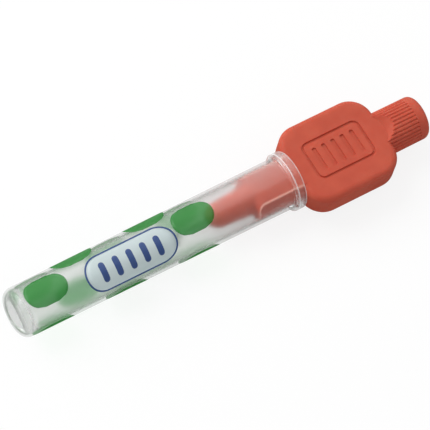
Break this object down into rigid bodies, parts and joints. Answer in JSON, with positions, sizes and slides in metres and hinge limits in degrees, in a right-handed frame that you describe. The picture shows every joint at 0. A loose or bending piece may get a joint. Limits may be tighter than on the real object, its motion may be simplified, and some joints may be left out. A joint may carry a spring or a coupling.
{
  "type": "interdental brush",
  "caption": "Interdental brush: a flat moulded finger grip with a ribbed stub, a folded and twisted wire that holds nylon bristles, and a translucent push-on cap over the brush.",
  "frame": {"origin": "middle of the overall box, at the bottom of the cap's collar", "axes": "+X along the brush's axis from the cap's closed end to the handle's stub, +Z square to the flat face of the paddle"},
  "size_m": [0.0582, 0.0112, 0.0076],
  "materials": {
    "coral_plastic": "satin moulded",
    "frosted_plastic": "frosted, translucent",
    "wire_steel": "drawn wire",
    "nylon": "clear filament"
  },
  "bodies": {
    "brush": {"handle": "coral_plastic", "wire": "wire_steel", "bristle_turn_1": "nylon", "bristle_turn_2": "nylon", "bristle_turn_3": "nylon", "bristle_turn_4": "nylon", "bristle_turn_5": "nylon", "bristle_turn_6": "nylon", "bristle_turn_7": "nylon"},
    "cap": {"cap": "frosted_plastic"}
  },
  "joints": [
    {"name": "cap_slide", "type": "slide", "parent": "brush", "child": "cap", "axis": [-1, 0, 0], "range_m": [0, 0.036]}
  ]
}
